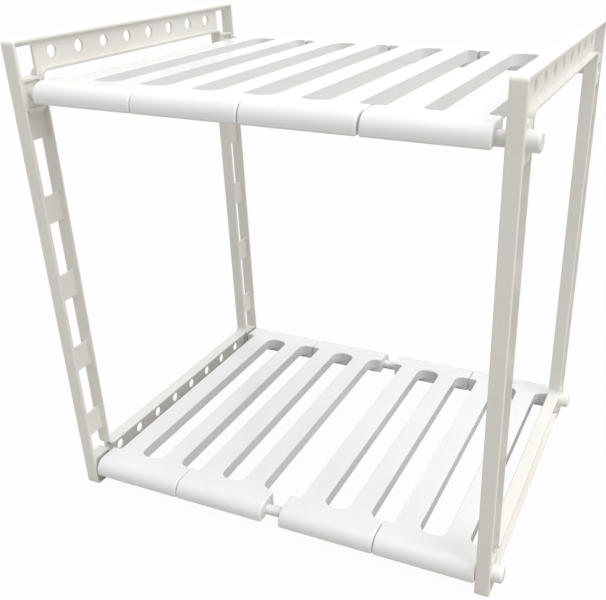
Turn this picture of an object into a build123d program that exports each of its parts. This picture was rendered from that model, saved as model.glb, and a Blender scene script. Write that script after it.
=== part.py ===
from build123d import *
import os

# Two-tier expanding shelf riser. Two identical moulded side frames carry four
# telescoping poles, and eight loose slatted panels ride on the poles.
# X is the width (the riser expands along +X), Y the depth (front is -Y), Z up
# from the floor. The origin is on the floor, at the middle of the whole width
# and depth with the riser closed.

# ---- Whole object ----
WIDTH = 376.0  # outer face to outer face of the side frames, closed
DEPTH = 288.0
HEIGHT = 385.0
CAP_REACH = 8.0  # how far the round caps stand out of the right frame
TRAVEL = 130.0  # how far the right frame pulls out

# ---- Side frame ----
FRAME_THICK = 11.4
BAR = 24.5  # width of the posts and height of the rails
PLATE = 2.2  # the flange that runs around every edge
WEB = 2.0  # the sheet half way through the thickness
FOOT = 5.0  # the posts reach this far below the lower rail
OUTER_CORNER = 3.5
INNER_CORNER = 5.0
FOOT_CORNER = 3.0
EDGE_ROUND = 1.0
WINDOW_HEIGHT = 44.5
WINDOW_PITCH = 66.2
WINDOW_COUNT = 6
WINDOW_CORNER = 1.5
HOLE_RADIUS = 4.8
HOLE_PITCH = 29.4
HOLE_COUNT = 8

# ---- Poles ----
LEVELS = {"lower": 16.0, "upper": 16.0 + (WINDOW_COUNT - 1) * WINDOW_PITCH}
SIDES = {"front": -1, "rear": 1}
POLE_Y = (DEPTH - BAR) / 2
INNER_RADIUS = 4.5
OUTER_RADIUS = 5.2
TUBE_WALL = 0.4
OUTER_START = 205.0  # the thick tube's mouth, from the left frame's outer face
OVERLAP = 22.0  # thin tube left inside the thick one when the riser is pulled out
END_INSET = 0.8  # a tube without a cap stops this far inside the frame
CAPPED_REACH = 6.0  # a tube with a cap passes the frame by this much

# ---- Pole seats ----
SEAT_BELOW = 12.0  # pole axis above the window's sill
SEAT_ABOVE = 11.0
SEAT_WIDTH = 19.6
SEAT_WALL = 1.8
SEAT_POCKET = 2.5  # depth of the recess in the seat's inner face
SEAT_INSET = 0.6  # the seat's faces lie this far inside the frame's faces
SEAT_CORNER = 2.0
LIP_DEPTH = 1.5
LIP_GAP = 2.4
SLEEVE_LENGTH = 8.0
FIT = 0.05

# ---- Caps and plugs ----
CAP_RADIUS = 6.7
CAP_ROUND = 1.9
PLUG_LENGTH = 6.0
PLUG_INSET = 1.5
PLUG_HOLLOW = 4.0
PLUG_WALL = 1.4

# ---- Panels ----
PANEL_WIDTH = 83.4
PANEL_DEPTH = 290.0
PANEL_TOP = 10.3  # above the pole axis
PANEL_BOTTOM = -4.7
SLAT_BOTTOM = -0.4
SKIN = 2.2
RIM = 1.8
SLOT_LENGTH = 240.0
SLOT_LEFT = 31.2  # the middle slot's edge, from the panel's left end
SLOT_WIDTH = 22.9
SLOT_ROUND = 9.0
LEFT_RECESS = 12.5
RIGHT_RECESS = 9.1
RIGHT_ROUND = 2.5
LEFT_EAR = 3.0  # the plan corners where a side recess meets the panel's end
RIGHT_EAR = 6.0
NOSE_ROUND = 11.0
NOSE_LIP = 2.0
END_ROUND = 1.5
SLOT_RIM_ROUND = 0.8
POLE_CLEARANCE = 0.3
RIB = 1.6
RIB_PITCH = 38.0
RIB_COUNT = 5
TURNED_LEVEL = "lower"  # this tier's panels are turned end for end
# Each panel's left end, measured from the left frame's outer face.
PANEL_LEFT = {
    "upper": (20.6, 104.5, 188.6, 273.6),
    "lower": (13.2, 97.2, 196.8, 280.8),
}

LEFT_X = -(WIDTH + CAP_REACH) / 2
RIGHT_X = LEFT_X + WIDTH

os.makedirs("parts", exist_ok=True)


def save(part, name):
    """Label one finished piece and write it as a STEP file of the same name."""
    part.label = name
    export_step(part, f"parts/{name}.step")


def frame_outline():
    """Draw the side frame's face: two posts on feet, joined by two rails."""
    opening = DEPTH - 2 * BAR
    rail_top = FOOT + BAR
    with BuildSketch() as outline:
        with Locations((0, HEIGHT / 2)):
            RectangleRounded(DEPTH, HEIGHT, OUTER_CORNER)
        with Locations((0, (rail_top + HEIGHT - BAR) / 2)):
            RectangleRounded(opening, HEIGHT - BAR - rail_top, INNER_CORNER, mode=Mode.SUBTRACT)
        RectangleRounded(opening, 2 * FOOT, FOOT_CORNER, mode=Mode.SUBTRACT)
    return outline


def side_frame(x, name):
    """Make one side frame: plates around the edges, and a thin pierced web."""
    outline = frame_outline()
    pocket_depth = (FRAME_THICK - WEB) / 2
    first_sill = LEVELS["lower"] - SEAT_BELOW
    with BuildPart() as frame:
        with BuildSketch(Plane.YZ.offset(-FRAME_THICK / 2)):
            add(outline.sketch_local)
        extrude(amount=FRAME_THICK)
        rims = frame.faces().filter_by(Axis.X).edges()
        fillet(rims, EDGE_ROUND)
        for side in (-1, 1):
            with BuildSketch(Plane.YZ.offset(side * FRAME_THICK / 2)):
                add(outline.sketch_local)
                offset(amount=-PLATE, kind=Kind.INTERSECTION, mode=Mode.REPLACE)
            extrude(amount=-side * pocket_depth, mode=Mode.SUBTRACT)
        with BuildSketch(Plane.YZ.offset(-WEB)):
            for row in range(WINDOW_COUNT):
                height = first_sill + row * WINDOW_PITCH + WINDOW_HEIGHT / 2
                with Locations((-POLE_Y, height), (POLE_Y, height)):
                    RectangleRounded(BAR - 2 * PLATE, WINDOW_HEIGHT, WINDOW_CORNER)
            for height in (FOOT + BAR / 2, HEIGHT - BAR / 2):
                with Locations((0, height)):
                    with GridLocations(HOLE_PITCH, 1, HOLE_COUNT, 1):
                        Circle(HOLE_RADIUS)
        extrude(amount=2 * WEB, mode=Mode.SUBTRACT)
    save(frame.part.moved(Location((x, 0, 0))), name)


def pole_seat(x, y, z, outward, radius, name):
    """Make the block that sits on a window's sill and holds a pole.

    outward is -1 in the left frame and 1 in the right one. The face towards the
    shelf has a shallow recess, and two lips straddle the web below the window.
    """
    thick = FRAME_THICK - 2 * SEAT_INSET
    height = SEAT_BELOW + SEAT_ABOVE
    middle = (SEAT_ABOVE - SEAT_BELOW) / 2
    back = outward * thick / 2
    lip_thick = (thick - LIP_GAP) / 2
    with BuildPart() as seat:
        with BuildSketch(Plane.YZ.offset(back)):
            with Locations((0, middle)):
                RectangleRounded(SEAT_WIDTH, height, SEAT_CORNER)
        extrude(amount=-outward * thick)
        with BuildSketch(Plane.YZ.offset(-back)):
            with Locations((0, middle)):
                Rectangle(SEAT_WIDTH - 2 * SEAT_WALL, height - 2 * SEAT_WALL)
        extrude(amount=outward * SEAT_POCKET, mode=Mode.SUBTRACT)
        with BuildSketch(Plane.YZ.offset(back)):
            Circle(radius + SEAT_WALL)
        extrude(amount=-outward * SLEEVE_LENGTH)
        for side in (-1, 1):
            lip_x = side * (thick - lip_thick) / 2
            with Locations((lip_x, 0, -SEAT_BELOW)):
                Box(lip_thick, SEAT_WIDTH - 2 * SEAT_CORNER, 2 * LIP_DEPTH)
        with BuildSketch(Plane.YZ.offset(back)):
            Circle(radius + FIT)
        extrude(amount=-outward * thick, mode=Mode.SUBTRACT)
    save(seat.part.moved(Location((x, y, z))), name)


def tube(x_start, x_end, y, z, radius, name):
    """Make one straight tube along X."""
    with BuildPart() as pole:
        with BuildSketch(Plane.YZ.offset(x_start)):
            Circle(radius)
            Circle(radius - TUBE_WALL, mode=Mode.SUBTRACT)
        extrude(amount=x_end - x_start)
    save(pole.part.moved(Location((0, y, z))), name)


def round_cap(y, z, name):
    """Make the round cap that closes a thick tube outside the right frame."""
    base = RIGHT_X - SEAT_INSET
    with BuildPart() as cap:
        with BuildSketch(Plane.YZ.offset(base)):
            Circle(CAP_RADIUS)
        extrude(amount=CAP_REACH + SEAT_INSET)
        fillet(cap.edges().group_by(Axis.X)[-1], CAP_ROUND)
        with BuildSketch(Plane.YZ.offset(base)):
            Circle(OUTER_RADIUS + FIT)
        extrude(amount=CAPPED_REACH + SEAT_INSET, mode=Mode.SUBTRACT)
    save(cap.part.moved(Location((0, y, z))), name)


def tube_plug(x_end, y, z, outward, radius, name):
    """Make the cup-shaped plug pressed a little way into an uncapped tube."""
    bore = radius - TUBE_WALL - FIT
    face = x_end - outward * PLUG_INSET
    with BuildPart() as plug:
        with BuildSketch(Plane.YZ.offset(face)):
            Circle(bore)
        extrude(amount=-outward * PLUG_LENGTH)
        with BuildSketch(Plane.YZ.offset(face)):
            Circle(bore - PLUG_WALL)
        extrude(amount=-outward * PLUG_HOLLOW, mode=Mode.SUBTRACT)
    save(plug.part.moved(Location((0, y, z))), name)


def panel_plan():
    """Draw a panel from above: a board with a middle slot and a recess in each side."""
    left = -PANEL_WIDTH / 2
    right = PANEL_WIDTH / 2
    with BuildSketch() as plan:
        Rectangle(PANEL_WIDTH, PANEL_DEPTH)
        with Locations((left, 0)):
            RectangleRounded(2 * LEFT_RECESS, SLOT_LENGTH, SLOT_ROUND, mode=Mode.SUBTRACT)
        with Locations((right, 0)):
            RectangleRounded(2 * RIGHT_RECESS, SLOT_LENGTH, RIGHT_ROUND, mode=Mode.SUBTRACT)
        ears = plan.vertices().filter_by_position(Axis.Y, -SLOT_LENGTH / 2, SLOT_LENGTH / 2)
        fillet(ears.group_by(Axis.X)[0], LEFT_EAR)
        fillet(ears.group_by(Axis.X)[-1], RIGHT_EAR)
        with Locations((left + SLOT_LEFT + SLOT_WIDTH / 2, 0)):
            RectangleRounded(SLOT_WIDTH, SLOT_LENGTH, SLOT_ROUND, mode=Mode.SUBTRACT)
    return plan


def slat_spans():
    """Give the two slats' edges across the panel, as (low x, high x) pairs."""
    left = -PANEL_WIDTH / 2
    slot_left = left + SLOT_LEFT
    return (
        (left + LEFT_RECESS, slot_left),
        (slot_left + SLOT_WIDTH, PANEL_WIDTH / 2 - RIGHT_RECESS),
    )


def panel(x_left, z, pole_radius, turn, name):
    """Make one panel: two hollow slats between two blocks that ride on the poles.

    turn is the panel's angle about the vertical, in degrees.
    """
    full_height = PANEL_TOP - PANEL_BOTTOM
    channel = pole_radius + POLE_CLEARANCE
    with BuildPart() as board:
        # The bull-nosed side profile runs from end to end.
        with BuildSketch(Plane.YZ.offset(-PANEL_WIDTH / 2)) as profile:
            with Locations((0, (PANEL_TOP + PANEL_BOTTOM) / 2)):
                Rectangle(PANEL_DEPTH, full_height)
            fillet(profile.vertices().group_by(Axis.Y)[-1], NOSE_ROUND)
            fillet(profile.vertices().group_by(Axis.Y)[0], NOSE_LIP)
        extrude(amount=PANEL_WIDTH)
        fillet(board.faces().filter_by(Axis.X).edges(), END_ROUND)
        with BuildSketch(Plane.XY.offset(PANEL_BOTTOM)):
            add(panel_plan().sketch_local)
        extrude(amount=full_height, mode=Mode.INTERSECT)
        slot_rim = board.faces().group_by(Axis.Z)[-1].face().inner_wires()[0].edges()
        fillet(slot_rim, SLOT_RIM_ROUND)
        # The slats are shallower than the end blocks.
        with Locations((0, 0, PANEL_BOTTOM)):
            Box(
                PANEL_WIDTH,
                SLOT_LENGTH,
                2 * (SLAT_BOTTOM - PANEL_BOTTOM),
                mode=Mode.SUBTRACT,
            )
        # Each slat is a downward tray with cross ribs.
        with BuildSketch(Plane.XY.offset(SLAT_BOTTOM)):
            for low, high in slat_spans():
                with Locations(((low + high) / 2, 0)):
                    Rectangle(high - low - 2 * RIM, SLOT_LENGTH - 2 * RIM)
            with GridLocations(1, RIB_PITCH, 1, RIB_COUNT):
                Rectangle(PANEL_WIDTH, RIB, mode=Mode.SUBTRACT)
        extrude(amount=PANEL_TOP - SKIN - SLAT_BOTTOM, mode=Mode.SUBTRACT)
        # The pole channels are arches, open below, right through each end block.
        with BuildSketch(Plane.YZ.offset(-PANEL_WIDTH / 2)):
            with Locations((-POLE_Y, 0), (POLE_Y, 0)):
                Circle(channel)
            with Locations((-POLE_Y, PANEL_BOTTOM), (POLE_Y, PANEL_BOTTOM)):
                Rectangle(2 * channel, -2 * PANEL_BOTTOM)
        extrude(amount=PANEL_WIDTH, mode=Mode.SUBTRACT)
    place = Location((x_left + PANEL_WIDTH / 2, 0, z), (0, 0, turn))
    save(board.part.moved(place), name)


def make_poles():
    """Make the four telescoping poles with their seats, caps and plugs."""
    left_middle = LEFT_X + FRAME_THICK / 2
    right_middle = RIGHT_X - FRAME_THICK / 2
    inner_start = LEFT_X + END_INSET
    inner_end = LEFT_X + OUTER_START + TRAVEL + OVERLAP
    for level, z in LEVELS.items():
        for side, sign in SIDES.items():
            y = sign * POLE_Y
            place = f"{level}_{side}"
            capped = place != "upper_rear"
            outer_end = RIGHT_X + CAPPED_REACH if capped else RIGHT_X - END_INSET
            tube(inner_start, inner_end, y, z, INNER_RADIUS, f"{place}_inner_tube")
            tube(LEFT_X + OUTER_START, outer_end, y, z, OUTER_RADIUS, f"{place}_outer_tube")
            pole_seat(left_middle, y, z, -1, INNER_RADIUS, f"{place}_left_seat")
            pole_seat(right_middle, y, z, 1, OUTER_RADIUS, f"{place}_right_seat")
            tube_plug(inner_start, y, z, -1, INNER_RADIUS, f"{place}_left_plug")
            if capped:
                round_cap(y, z, f"{place}_right_cap")
            else:
                tube_plug(outer_end, y, z, 1, OUTER_RADIUS, f"{place}_right_plug")


def make_panels():
    """Make the eight panels. The left pair of each tier rides on the thin tubes."""
    for level, lefts in PANEL_LEFT.items():
        turn = 180 if level == TURNED_LEVEL else 0
        for number, left in enumerate(lefts, start=1):
            radius = INNER_RADIUS if number <= len(lefts) // 2 else OUTER_RADIUS
            panel(LEFT_X + left, LEVELS[level], radius, turn, f"{level}_panel_{number}")


side_frame(LEFT_X + FRAME_THICK / 2, "left_side_frame")
side_frame(RIGHT_X - FRAME_THICK / 2, "right_side_frame")
make_poles()
make_panels()
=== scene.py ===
"""Looks of a two-tier expanding shelf riser: white mouldings, enamelled poles, soft studio light."""

import math

import bpy
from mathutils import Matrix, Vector

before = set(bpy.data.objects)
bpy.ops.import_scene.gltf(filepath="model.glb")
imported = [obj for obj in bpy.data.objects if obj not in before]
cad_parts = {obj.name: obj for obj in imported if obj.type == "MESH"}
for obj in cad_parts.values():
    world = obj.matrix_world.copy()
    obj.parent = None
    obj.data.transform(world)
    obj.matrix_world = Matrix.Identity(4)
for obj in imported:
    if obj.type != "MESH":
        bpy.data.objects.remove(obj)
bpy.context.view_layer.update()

FLOOR_SIZE = 60.0
FLOOR_WARM_WHITE = (0.46, 0.44, 0.41, 1)
FLOOR_GLOW = 0.97  # how much of the floor that the camera sees is its own even glow

# ---- Camera ----
EYE = (0.2792, -0.5917, 0.4643)
TURN_LEFT = 22.1  # degrees from straight ahead, towards -X
TILT_DOWN = 26.62
SENSOR_WIDTH = 36.0
LENS = 47.93
LENS_SHIFT = (-0.1306, 0.0293)

# ---- Light ----
SURROUND = 0.5
# Each lamp: name, the way it shines, apparent width in degrees, strength.
LAMPS = (
    ("rear_top_lamp", (-0.15, -0.3, -1), 50, 1.0),
    ("front_top_lamp", (-0.1, 0.35, -1), 50, 0.75),
    ("right_lamp", (-1, 0.15, -1), 40, 1.15),
)

# ---- How strongly each mark shows in a finish ----
CLOUD_SCALE = 9.0
CLOUD_SHARE = 0.4
STREAK_SHARE = 0.12
RUB_SHARE = 0.22
SCRATCH_ROUGHNESS = 0.12
RELIEF_HEIGHT = 0.0002
PLASTIC_IOR = 1.49
COAT_ROUGHNESS = 0.12

# ---- Finishes: colours are linear RGB ----
IVORY = (0.85, 0.833, 0.79, 1)
IVORY_AGED = (0.755, 0.732, 0.67, 1)
COOL_WHITE = (0.845, 0.85, 0.855, 1)
COOL_WHITE_DEEP = (0.79, 0.788, 0.775, 1)
ENAMEL = (0.83, 0.83, 0.81, 1)
ENAMEL_WORN = (0.70, 0.69, 0.66, 1)
CAP_WHITE = (0.86, 0.86, 0.845, 1)
CAP_SCUFFED = (0.72, 0.71, 0.68, 1)


# ---------------------------------------------------------------- node groups
def new_group(name, inputs, outputs):
    """Make an empty shader node group with named sockets, and return it with its two ends."""
    group = bpy.data.node_groups.new(name, "ShaderNodeTree")
    for socket_name, kind, default in inputs:
        socket = group.interface.new_socket(socket_name, in_out="INPUT", socket_type=kind)
        if default is not None:
            socket.default_value = default
    for socket_name, kind in outputs:
        group.interface.new_socket(socket_name, in_out="OUTPUT", socket_type=kind)
    return group, group.nodes.new("NodeGroupInput"), group.nodes.new("NodeGroupOutput")


def noise(tree, vector, scale, detail, roughness):
    """Add a 3-D noise texture fed by a vector socket."""
    node = tree.nodes.new("ShaderNodeTexNoise")
    node.inputs["Detail"].default_value = detail
    node.inputs["Roughness"].default_value = roughness
    tree.links.new(vector, node.inputs["Vector"])
    if isinstance(scale, float):
        node.inputs["Scale"].default_value = scale
    else:
        tree.links.new(scale, node.inputs["Scale"])
    return node


def ramp(tree, value, low, high):
    """Add a smooth 0 to 1 step between two values."""
    node = tree.nodes.new("ShaderNodeMapRange")
    node.interpolation_type = "SMOOTHSTEP"
    node.inputs["From Min"].default_value = low
    node.inputs["From Max"].default_value = high
    tree.links.new(value, node.inputs["Value"])
    return node.outputs["Result"]


def math_node(tree, operation, first, second):
    """Add a math node; each operand is a socket or a number."""
    node = tree.nodes.new("ShaderNodeMath")
    node.operation = operation
    for socket, operand in zip(node.inputs, (first, second)):
        if isinstance(operand, (int, float)):
            socket.default_value = operand
        else:
            tree.links.new(operand, socket)
    return node.outputs["Value"]


def moulding_flow_group():
    """Slow waves of shade left by the melt as it filled the mould, and the sink over ribs."""
    group, ends_in, ends_out = new_group(
        "MouldingFlow",
        (("Vector", "NodeSocketVector", None), ("Scale", "NodeSocketFloat", 9.0)),
        (("Cloud", "NodeSocketFloat"), ("Streak", "NodeSocketFloat")),
    )
    vector = ends_in.outputs["Vector"]
    cloud = noise(group, vector, ends_in.outputs["Scale"], 3.0, 0.45)
    group.links.new(ramp(group, cloud.outputs["Fac"], 0.3, 0.72), ends_out.inputs["Cloud"])
    stretch = group.nodes.new("ShaderNodeMapping")
    stretch.inputs["Scale"].default_value = (3.2, 0.35, 3.2)
    group.links.new(vector, stretch.inputs["Vector"])
    streak = noise(group, stretch.outputs["Vector"], 22.0, 4.0, 0.55)
    group.links.new(ramp(group, streak.outputs["Fac"], 0.42, 0.7), ends_out.inputs["Streak"])
    return group


def handling_group():
    """Where hands and pans rub: soft blotches, with fine scratches inside them."""
    group, ends_in, ends_out = new_group(
        "HandlingMarks",
        (("Vector", "NodeSocketVector", None), ("Amount", "NodeSocketFloat", 0.5)),
        (("Blotch", "NodeSocketFloat"), ("Scratch", "NodeSocketFloat")),
    )
    vector = ends_in.outputs["Vector"]
    blotch = noise(group, vector, 26.0, 5.0, 0.6)
    mask = ramp(group, blotch.outputs["Fac"], 0.46, 0.66)
    scaled = math_node(group, "MULTIPLY", mask, ends_in.outputs["Amount"])
    group.links.new(scaled, ends_out.inputs["Blotch"])
    turn = group.nodes.new("ShaderNodeMapping")
    turn.inputs["Rotation"].default_value = (0.2, 0.4, 0.7)
    turn.inputs["Scale"].default_value = (1.0, 14.0, 14.0)
    group.links.new(vector, turn.inputs["Vector"])
    hair = noise(group, turn.outputs["Vector"], 60.0, 2.0, 0.5)
    line = ramp(group, hair.outputs["Fac"], 0.66, 0.72)
    group.links.new(math_node(group, "MULTIPLY", line, scaled), ends_out.inputs["Scratch"])
    return group


def mould_texture_group():
    """Height of the moulded skin: faint orange peel over a finer spark-eroded grain."""
    group, ends_in, ends_out = new_group(
        "MouldTexture",
        (
            ("Vector", "NodeSocketVector", None),
            ("Peel Scale", "NodeSocketFloat", 160.0),
            ("Grain Scale", "NodeSocketFloat", 1400.0),
            ("Grain Share", "NodeSocketFloat", 0.3),
        ),
        (("Height", "NodeSocketFloat"),),
    )
    vector = ends_in.outputs["Vector"]
    peel = noise(group, vector, ends_in.outputs["Peel Scale"], 1.0, 0.4)
    grain = noise(group, vector, ends_in.outputs["Grain Scale"], 2.0, 0.5)
    share = math_node(group, "MULTIPLY", grain.outputs["Fac"], ends_in.outputs["Grain Share"])
    height = math_node(group, "ADD", peel.outputs["Fac"], share)
    group.links.new(height, ends_out.inputs["Height"])
    return group


FLOW = moulding_flow_group()
HANDLING = handling_group()
TEXTURE = mould_texture_group()


# ------------------------------------------------------------------ materials
def place_group(tree, group, vector, values):
    """Put a node group in a material with its own values."""
    node = tree.nodes.new("ShaderNodeGroup")
    node.node_tree = group
    tree.links.new(vector, node.inputs["Vector"])
    for name, value in values.items():
        node.inputs[name].default_value = value
    return node


def mix_colour(tree, factor, first, second):
    """Blend two colours by a mask; each is a socket or an RGBA tuple."""
    node = tree.nodes.new("ShaderNodeMix")
    node.data_type = "RGBA"
    factor_in, first_in, second_in = node.inputs[0], node.inputs[6], node.inputs[7]
    tree.links.new(factor, factor_in)
    for socket, colour in ((first_in, first), (second_in, second)):
        if isinstance(colour, tuple):
            socket.default_value = colour
        else:
            tree.links.new(colour, socket)
    return node.outputs[2]


def moulded_finish(name, base, aged, gloss, wear, peel, bump, coat):
    """A moulded or enamelled white: base colour, its aged shade, and how glossy it is.

    gloss is (polished, rubbed) roughness, wear how much handling shows, peel the
    orange-peel scale, bump its height and coat the weight of the clear skin.
    """
    material = bpy.data.materials.new(name)
    material.use_nodes = True
    tree = material.node_tree
    shader = tree.nodes["Principled BSDF"]
    vector = tree.nodes.new("ShaderNodeTexCoord").outputs["Object"]
    flow = place_group(tree, FLOW, vector, {"Scale": CLOUD_SCALE})
    marks = place_group(tree, HANDLING, vector, {"Amount": wear})
    skin = place_group(tree, TEXTURE, vector, {"Peel Scale": peel})
    shade = math_node(tree, "MULTIPLY", flow.outputs["Cloud"], CLOUD_SHARE)
    clouded = mix_colour(tree, shade, base, aged)
    streaked_factor = math_node(tree, "MULTIPLY", flow.outputs["Streak"], STREAK_SHARE)
    streaked = mix_colour(tree, streaked_factor, clouded, aged)
    rubbed_factor = math_node(tree, "MULTIPLY", marks.outputs["Blotch"], RUB_SHARE)
    rubbed = mix_colour(tree, rubbed_factor, streaked, aged)
    tree.links.new(rubbed, shader.inputs["Base Color"])
    polished, worn = gloss
    spread = math_node(tree, "MULTIPLY", marks.outputs["Blotch"], worn - polished)
    rough = math_node(tree, "ADD", spread, polished)
    scratched = math_node(tree, "MULTIPLY", marks.outputs["Scratch"], SCRATCH_ROUGHNESS)
    tree.links.new(math_node(tree, "ADD", rough, scratched), shader.inputs["Roughness"])
    relief = tree.nodes.new("ShaderNodeBump")
    relief.inputs["Strength"].default_value = bump
    relief.inputs["Distance"].default_value = RELIEF_HEIGHT
    tree.links.new(skin.outputs["Height"], relief.inputs["Height"])
    tree.links.new(relief.outputs["Normal"], shader.inputs["Normal"])
    shader.inputs["IOR"].default_value = PLASTIC_IOR
    shader.inputs["Coat Weight"].default_value = coat
    shader.inputs["Coat Roughness"].default_value = COAT_ROUGHNESS
    return material


FRAME_PLASTIC = moulded_finish(
    "ivory_frame_moulding", IVORY, IVORY_AGED, (0.34, 0.48), 0.7, 150.0, 0.25, 0.05
)
PANEL_PLASTIC = moulded_finish(
    "cool_white_panel_moulding", COOL_WHITE, COOL_WHITE_DEEP, (0.2, 0.34), 0.5, 120.0, 0.18, 0.15
)
POLE_ENAMEL = moulded_finish(
    "white_pole_enamel", ENAMEL, ENAMEL_WORN, (0.22, 0.4), 0.6, 260.0, 0.3, 0.3
)
CAP_PLASTIC = moulded_finish(
    "white_cap_moulding", CAP_WHITE, CAP_SCUFFED, (0.28, 0.45), 0.8, 200.0, 0.22, 0.05
)


def finish_of(name):
    """The finish that a CAD node is made in."""
    if "panel" in name:
        return PANEL_PLASTIC
    if "tube" in name:
        return POLE_ENAMEL
    if "cap" in name or "plug" in name:
        return CAP_PLASTIC
    return FRAME_PLASTIC


def dress_frame_nodes():
    """Give every CAD node its finish."""
    for name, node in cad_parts.items():
        node.data.materials.clear()
        node.data.materials.append(finish_of(name))


dress_frame_nodes()


# ---------------------------------------------------------------------- stage
def studio_floor():
    """A pale floor: what the camera sees of it is mostly its own even glow."""
    bpy.ops.mesh.primitive_plane_add(size=FLOOR_SIZE, location=(0, 0, 0))
    floor = bpy.context.object
    floor.name = "studio_floor"
    paint = bpy.data.materials.new("studio_white")
    paint.use_nodes = True
    tree = paint.node_tree
    lit = tree.nodes["Principled BSDF"]
    lit.inputs["Base Color"].default_value = FLOOR_WARM_WHITE
    lit.inputs["Roughness"].default_value = 0.9
    glow = tree.nodes.new("ShaderNodeEmission")
    seen = tree.nodes.new("ShaderNodeLightPath").outputs["Is Camera Ray"]
    blend = tree.nodes.new("ShaderNodeMixShader")
    tree.links.new(math_node(tree, "MULTIPLY", seen, FLOOR_GLOW), blend.inputs["Fac"])
    tree.links.new(lit.outputs["BSDF"], blend.inputs[1])
    tree.links.new(glow.outputs["Emission"], blend.inputs[2])
    tree.links.new(blend.outputs["Shader"], tree.nodes["Material Output"].inputs["Surface"])
    floor.data.materials.append(paint)


def studio_surround(strength):
    """An even surround, which fills the shadows, and is white where seen or mirrored."""
    world = bpy.data.worlds.new("studio_surround")
    world.use_nodes = True
    tree = world.node_tree
    background = tree.nodes["Background"]
    background.inputs["Color"].default_value = (1, 1, 1, 1)
    rays = tree.nodes.new("ShaderNodeLightPath")
    seen = math_node(
        tree, "MAXIMUM", rays.outputs["Is Camera Ray"], rays.outputs["Is Glossy Ray"]
    )
    extra = math_node(tree, "MULTIPLY", seen, 1 - strength)
    tree.links.new(math_node(tree, "ADD", extra, strength), background.inputs["Strength"])
    bpy.context.scene.world = world


def soft_sun(name, direction, spread, strength):
    """A broad lamp that shines along a direction; spread is its apparent width in degrees."""
    bpy.ops.object.light_add(type="SUN", location=(0, 0, 1))
    lamp = bpy.context.object
    lamp.name = name
    lamp.data.angle = math.radians(spread)
    lamp.data.energy = strength
    lamp.rotation_euler = Vector(direction).to_track_quat("-Z", "Y").to_euler()


def camera():
    """The view from the front right and above, looking down at the two shelves."""
    turn, down = math.radians(TURN_LEFT), math.radians(TILT_DOWN)
    forward = Vector(
        (-math.sin(turn) * math.cos(down), math.cos(turn) * math.cos(down), -math.sin(down))
    )
    bpy.ops.object.camera_add(location=EYE)
    eye = bpy.context.object
    eye.name = "camera"
    eye.rotation_euler = forward.to_track_quat("-Z", "Y").to_euler()
    eye.data.sensor_width = SENSOR_WIDTH
    eye.data.lens = LENS
    eye.data.shift_x, eye.data.shift_y = LENS_SHIFT
    bpy.context.scene.camera = eye


studio_floor()
studio_surround(SURROUND)
for lamp in LAMPS:
    soft_sun(*lamp)
camera()
bpy.context.scene.view_settings.view_transform = "Standard"
